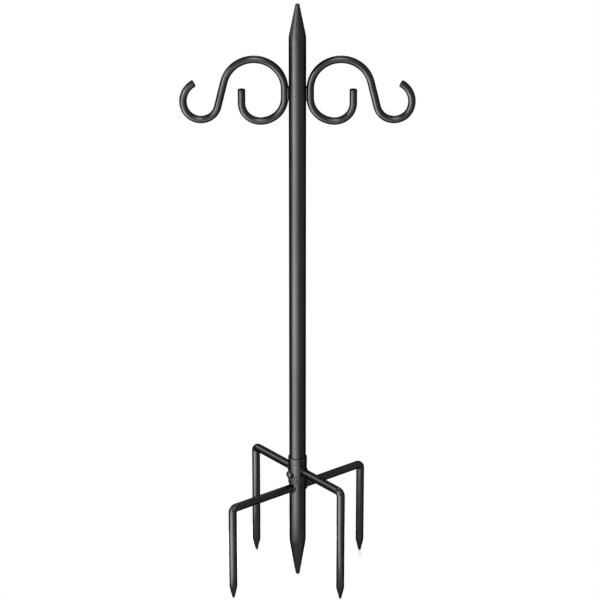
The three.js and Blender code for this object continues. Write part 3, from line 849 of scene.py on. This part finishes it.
class STAND_OT_prongs(bpy.types.Operator):
    """Build the fixed pair and the swivelling pair of prongs"""
    bl_idname = "stand.prongs"
    bl_label = "Prongs"

    def execute(self, context):
        sizes = context.scene.stand_prongs
        collar = context.scene.stand_collar
        for face, fixed, swivel in prong_directions(sizes):
            add_piece(f"fixed_prong_rod_{face}",
                      prong_surface(sizes, fixed, FIXED_ARM_START, sizes.fixed_reach,
                                    sizes.fixed_height),
                      "pole", "prong_coat", [f"fixed_prong_{face}"])
            add_piece(f"swivel_prong_rod_{face}",
                      prong_surface(sizes, swivel, collar.bore + SWIVEL_ARM_GAP, sizes.swivel_reach,
                                    COLLAR_MIDDLE),
                      "collar", "prong_coat", [f"swivel_prong_{face}"])
        return {"FINISHED"}


class STAND_OT_prong_welds(bpy.types.Operator):
    """Build the weld beads round the prongs' arms"""
    bl_idname = "stand.prong_welds"
    bl_label = "Prong welds"

    def execute(self, context):
        sizes = context.scene.stand_prongs
        collar = context.scene.stand_collar
        for face, fixed, swivel in prong_directions(sizes):
            add_piece(f"fixed_prong_bead_{face}",
                      arm_bead_surface(sizes, POLE_RADIUS, fixed, sizes.fixed_height, math.pi / 2,
                                       sizes.fixed_bead),
                      "pole", "weld_coat", [f"fixed_prong_weld_{face}"])
            add_piece(f"swivel_prong_bead_{face}",
                      arm_bead_surface(sizes, collar.radius, swivel, COLLAR_MIDDLE, -math.pi / 2,
                                       sizes.swivel_bead),
                      "collar", "weld_coat", [f"swivel_prong_weld_{face}"])
        return {"FINISHED"}


class STAND_OT_collar(bpy.types.Operator):
    """Build the swivel collar with its pad and screw hole"""
    bl_idname = "stand.collar"
    bl_label = "Swivel collar"

    def execute(self, context):
        surface = collar_surface(context.scene.stand_collar, *screw_place(context.scene))
        add_piece("collar_sleeve", surface, "collar", "collar_coat", ["swivel_collar"])
        return {"FINISHED"}


class STAND_OT_lock_screw(bpy.types.Operator):
    """Build the lock screw and its washer"""
    bl_idname = "stand.lock_screw"
    bl_label = "Lock screw"

    def execute(self, context):
        sizes, place = context.scene.stand_collar, screw_place(context.scene)
        add_piece("lock_washer_ring", washer_surface(sizes, *place), "washer", "blackened_steel",
                  ["lock_washer"])
        add_piece("lock_screw_button", screw_surface(sizes, *place), "screw", "blackened_steel",
                  ["lock_screw"])
        return {"FINISHED"}


class STAND_OT_stage(bpy.types.Operator):
    """Set up the floor, the lights, the background and the camera"""
    bl_idname = "stand.stage"
    bl_label = "Stage"

    def execute(self, context):
        stage = context.scene.stand_stage
        floor(stage)
        background(stage)
        for box in SOFTBOXES:
            softbox(box, getattr(stage, box.power))
        camera(stage)
        context.scene.view_settings.view_transform = "Standard"
        return {"FINISHED"}


# ---- Stage -------------------------------------------------------------------

class Softbox(NamedTuple):
    """A softbox's place from the middle of the stand, by degrees round from +X, degrees up and metres,
    its width and height in metres, and the name of its power in StageSettings."""
    name: str
    azimuth: float
    elevation: float
    distance: float
    width: float
    height: float
    power: str


SOFTBOXES = (
    Softbox("front_left_softbox", -138, -23.5, 1.92, 1.5, 1.6, "key_power"),
    Softbox("high_left_softbox", -138, 13.0, 1.8, 0.9, 0.7, "high_power"),
    Softbox("front_softbox", -98, -24.5, 1.92, 1.2, 1.3, "front_power"),
    Softbox("left_softbox", 163, 22, 1.9, 0.9, 0.9, "side_power"),
    Softbox("back_right_softbox", 42, -21.5, 1.92, 1.5, 1.4, "back_power"),
    Softbox("front_top_softbox", -90, 46, 2.0, 0.7, 1.8, "top_power"),
    Softbox("back_top_softbox", 90, 46, 2.0, 0.7, 1.8, "top_power"),
)
FLOOR_RINGS = 12
FLOOR_SIDES = 96


def seen_rays(nodes, links):
    """1 for camera, glossy and transmission rays, and 0 for the rest."""
    path = nodes.new("ShaderNodeLightPath")
    seen = path.outputs["Is Camera Ray"]
    for ray in ("Is Glossy Ray", "Is Transmission Ray"):
        either = nodes.new("ShaderNodeMath")
        either.operation = "MAXIMUM"
        links.new(seen, either.inputs[0])
        links.new(path.outputs[ray], either.inputs[1])
        seen = either.outputs[0]
    return seen


def floor(stage):
    """A round pale floor: a disc of rings whose radii grow evenly from the middle."""
    radii = np.linspace(0.02, 1, FLOOR_RINGS) * stage.floor_radius
    rings = turned(radii, np.zeros(FLOOR_RINGS), FLOOR_SIDES).reshape(-1, 3)
    ring = np.arange(FLOOR_SIDES)
    after = (ring + 1) % FLOOR_SIDES
    rows = np.arange(FLOOR_RINGS - 1)[:, None] * FLOOR_SIDES
    quads = np.stack([rows + ring, rows + FLOOR_SIDES + ring, rows + FLOOR_SIDES + after, rows + after],
                     axis=-1)
    middle = np.stack([ring, after, np.full(FLOOR_SIDES, len(rings))], axis=-1)
    mesh = bpy.data.meshes.new("floor")
    mesh.from_pydata([*rings.tolist(), (0.0, 0.0, 0.0)], [],
                     quads.reshape(-1, 4).tolist() + middle.tolist())
    disc = bpy.data.objects.new("floor", mesh)
    bpy.context.scene.collection.objects.link(disc)
    material = bpy.data.materials.new("pale_floor")
    material.use_nodes = True
    shader = material.node_tree.nodes["Principled BSDF"]
    shader.inputs["Base Color"].default_value = (*stage.floor_colour, 1.0)
    shader.inputs["Roughness"].default_value = 0.9
    shader.inputs["Specular IOR Level"].default_value = 0.0
    mesh.materials.append(material)


def background(stage):
    """A white background for what is seen, and a soft even light from it for what is lit."""
    world = bpy.data.worlds.new("studio")
    bpy.context.scene.world = world
    world.use_nodes = True
    nodes, links = world.node_tree.nodes, world.node_tree.links
    sky = nodes["Background"]
    sky.inputs["Color"].default_value = (1.0, 1.0, 1.0, 1.0)
    ranged = nodes.new("ShaderNodeMapRange")
    ranged.inputs["To Min"].default_value = stage.fill
    ranged.inputs["To Max"].default_value = 1.0
    links.new(seen_rays(nodes, links), ranged.inputs["Value"])
    links.new(ranged.outputs["Result"], sky.inputs["Strength"])


def softbox(settings, watts):
    """A rectangular softbox that faces the middle of the stand and doesn't show itself."""
    turn, rise = math.radians(settings.azimuth), math.radians(settings.elevation)
    aim = Vector((0.0, 0.0, STAND_TOP / 2))
    away = Vector((math.cos(turn) * math.cos(rise), math.sin(turn) * math.cos(rise), math.sin(rise)))
    lamp = bpy.data.lights.new(settings.name, "AREA")
    lamp.shape = "RECTANGLE"
    lamp.size, lamp.size_y = settings.width, settings.height
    lamp.energy = watts
    box = bpy.data.objects.new(settings.name, lamp)
    box.location = aim + settings.distance * away
    box.rotation_euler = (-away).to_track_quat("-Z", "Y").to_euler()
    box.visible_camera = False
    bpy.context.scene.collection.objects.link(box)


def camera(stage):
    """The camera stands in front, looks along +Y and down, and has no shift."""
    lens = bpy.data.cameras.new("camera")
    lens.lens = stage.lens
    lens.sensor_width = 36.0
    view = bpy.data.objects.new("camera", lens)
    back, up = math.cos(stage.pitch), math.sin(stage.pitch)
    view.location = (stage.aim_x, -stage.distance * back, stage.aim_z + stage.distance * up)
    view.rotation_euler = (math.pi / 2 - stage.pitch, 0.0, 0.0)
    bpy.context.scene.collection.objects.link(view)
    bpy.context.scene.camera = view


# ---- Panel and registration --------------------------------------------------

BUILDERS = (STAND_OT_stage, STAND_OT_pole, STAND_OT_scroll_hooks, STAND_OT_hook_welds, STAND_OT_prongs,
            STAND_OT_prong_welds, STAND_OT_collar, STAND_OT_lock_screw)
GROUPS = {"stand_pole": PoleSizes, "stand_hooks": HookSizes, "stand_prongs": ProngSizes,
          "stand_collar": CollarSizes, "stand_finish": CoatFinish, "stand_stage": StageSettings}


class STAND_PT_panel(bpy.types.Panel):
    """The stand's operators and sizes in the 3D view's sidebar"""
    bl_idname = "STAND_PT_panel"
    bl_label = "Plant stand"
    bl_space_type = "VIEW_3D"
    bl_region_type = "UI"
    bl_category = "Plant Stand"

    def draw(self, context):
        for builder in BUILDERS:
            self.layout.operator(builder.bl_idname)
        for name, group in GROUPS.items():
            box = self.layout.box()
            for size in group.__annotations__:
                box.prop(getattr(context.scene, name), size)


def register():
    """Adds the settings, the operators and the panel."""
    for group in GROUPS.values():
        bpy.utils.register_class(group)
    for name, group in GROUPS.items():
        setattr(bpy.types.Scene, name, PointerProperty(type=group))
    for part in (*BUILDERS, STAND_PT_panel):
        bpy.utils.register_class(part)


def unregister():
    """Takes the panel, the operators and the settings away again."""
    for part in reversed((*BUILDERS, STAND_PT_panel)):
        bpy.utils.unregister_class(part)
    for name, group in reversed(GROUPS.items()):
        delattr(bpy.types.Scene, name)
        bpy.utils.unregister_class(group)


def main():
    """Builds the stand."""
    register()
    bpy.ops.stand.stage()
    bpy.ops.stand.pole()
    bpy.ops.stand.scroll_hooks()
    bpy.ops.stand.hook_welds()
    bpy.ops.stand.prongs()
    bpy.ops.stand.prong_welds()
    bpy.ops.stand.collar()
    bpy.ops.stand.lock_screw()


if __name__ == "__main__":
    main()
